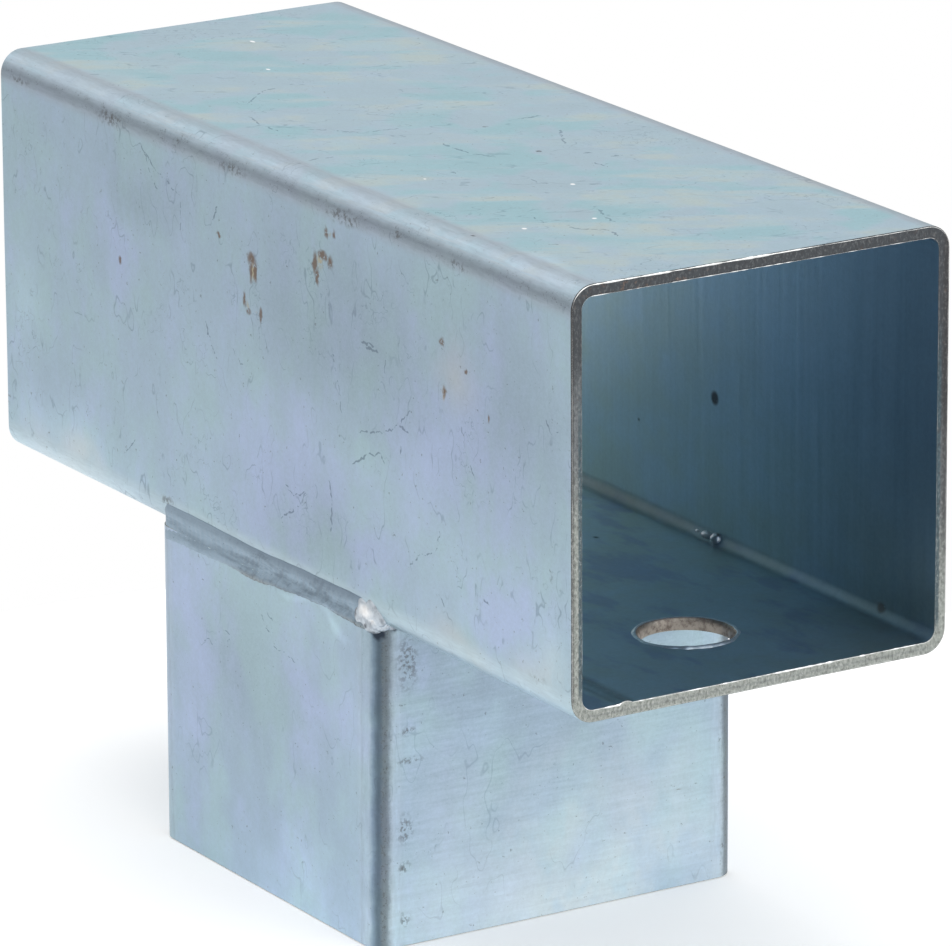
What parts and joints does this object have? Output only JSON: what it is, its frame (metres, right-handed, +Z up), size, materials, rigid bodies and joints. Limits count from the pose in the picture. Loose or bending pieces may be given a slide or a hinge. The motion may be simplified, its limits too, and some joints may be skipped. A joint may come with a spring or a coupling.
{
  "type": "square tube connector",
  "caption": "T-shaped connector of welded square steel tube, with an open socket at each end of the cross tube and on the branch, and bolt holes underneath.",
  "frame": {"origin": "under the middle of the cross tube, at the rim of the branch tube that the part stands on", "axes": "+X along the cross tube, towards the end that the branch lies further from; +Z up through the branch to the cross tube"},
  "size_m": [0.18, 0.0716, 0.125],
  "materials": {
    "plated_tube": "zinc plated and blue passivated, satin, with scratches and a few rust specks",
    "weld_metal": "plated weld bead, dull grey"
  },
  "bodies": {
    "root": {"cross_tube": "plated_tube", "branch_tube": "plated_tube", "weld_front": "weld_metal", "weld_back": "weld_metal"}
  },
  "joints": []
}
